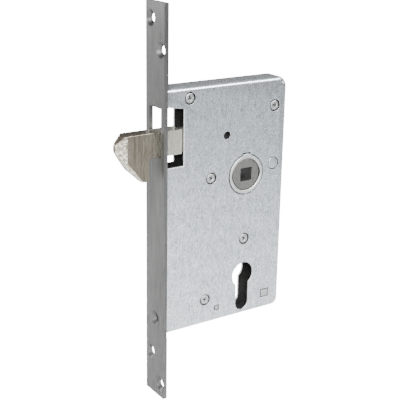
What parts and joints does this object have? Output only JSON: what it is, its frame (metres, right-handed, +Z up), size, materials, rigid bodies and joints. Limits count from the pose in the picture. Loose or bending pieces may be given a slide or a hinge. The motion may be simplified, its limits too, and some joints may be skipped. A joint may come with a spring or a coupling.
{
  "type": "mortise lock",
  "caption": "Mortise hook lock with flat forend, sheet case, swinging hook bolt, square spindle follower and profile-cylinder hole; handle lifts the hook, key slides the deadlock.",
  "frame": {"origin": "on the forend's front face, in the middle of its width, at the height of the follower's axis", "axes": "+X into the door, from the forend's face to the case's rear; +Y from the screwed cover to the flat base plate; +Z up"},
  "size_m": [0.1275, 0.022, 0.2629],
  "materials": {
    "forend_steel": "satin, fine grain up and down the plate",
    "zinc_sheet": "passivated zinc, faint mottle and grain",
    "nickel_hook": "nickel plated, brushed sides, bright cream edges",
    "hub_steel": "matt sintered steel",
    "bush_zinc": "bright satin zinc",
    "bright_fastener": "bright zinc plated",
    "plain_steel": "plain zinc plated steel",
    "spring_steel": "oiled spring steel"
  },
  "bodies": {
    "lock_case": {"forend": "forend_steel", "case_cover": "zinc_sheet", "base_plate": "zinc_sheet", "forend_bracket_top": "plain_steel", "forend_bracket_bottom": "plain_steel", "bracket_rivet_1": "bright_fastener", "bracket_rivet_2": "bright_fastener", "bracket_rivet_3": "bright_fastener", "post_1": "plain_steel", "post_2": "plain_steel", "post_3": "plain_steel", "post_4": "plain_steel", "post_5": "plain_steel", "cover_screw_1": "bright_fastener", "cover_screw_2": "bright_fastener", "cover_screw_3": "bright_fastener", "cover_screw_4": "bright_fastener", "cover_screw_5": "bright_fastener", "pivot_pin": "bright_fastener", "pivot_ring_near": "plain_steel", "pivot_ring_far": "plain_steel", "rear_spacer": "bright_fastener", "screw_guide": "bright_fastener", "hook_stop_pin": "plain_steel", "slider_guide_pin": "plain_steel", "hook_spring_shelf": "plain_steel", "return_spring_shelf": "plain_steel", "hook_spring": "spring_steel", "return_spring": "spring_steel", "detent_spring": "spring_steel", "follower_bush_near": "bush_zinc", "follower_bush_far": "bush_zinc"},
    "hook": {"hook_head": "nickel_hook", "hook_arm": "plain_steel", "hook_rivet_1": "bright_fastener", "hook_rivet_2": "bright_fastener"},
    "follower": {"follower": "hub_steel"},
    "deadlock_slider": {"lock_slider": "plain_steel"}
  },
  "joints": [
    {"name": "hook_lift", "type": "hinge", "parent": "lock_case", "child": "hook", "pos_m": [0.0885, 0, 0.0047], "axis": [0, 1, 0], "range_deg": [0, 9], "stiffness_Nm_per_rad": 0.8, "springref_deg": -20.05, "deforming": ["hook_spring"]},
    {"name": "follower_turn", "type": "hinge", "parent": "lock_case", "child": "follower", "pos_m": [0.0662, 0, 0], "axis": [0, 1, 0], "range_deg": [0, 22.5], "deforming": ["return_spring"]},
    {"name": "slider_throw", "type": "slide", "parent": "lock_case", "child": "deadlock_slider", "axis": [1, 0, 0], "range_m": [0, 0.0075]}
  ],
  "couplings": [
    {"joint": "follower_turn", "follows": "hook_lift", "ratio": 2.5}
  ]
}
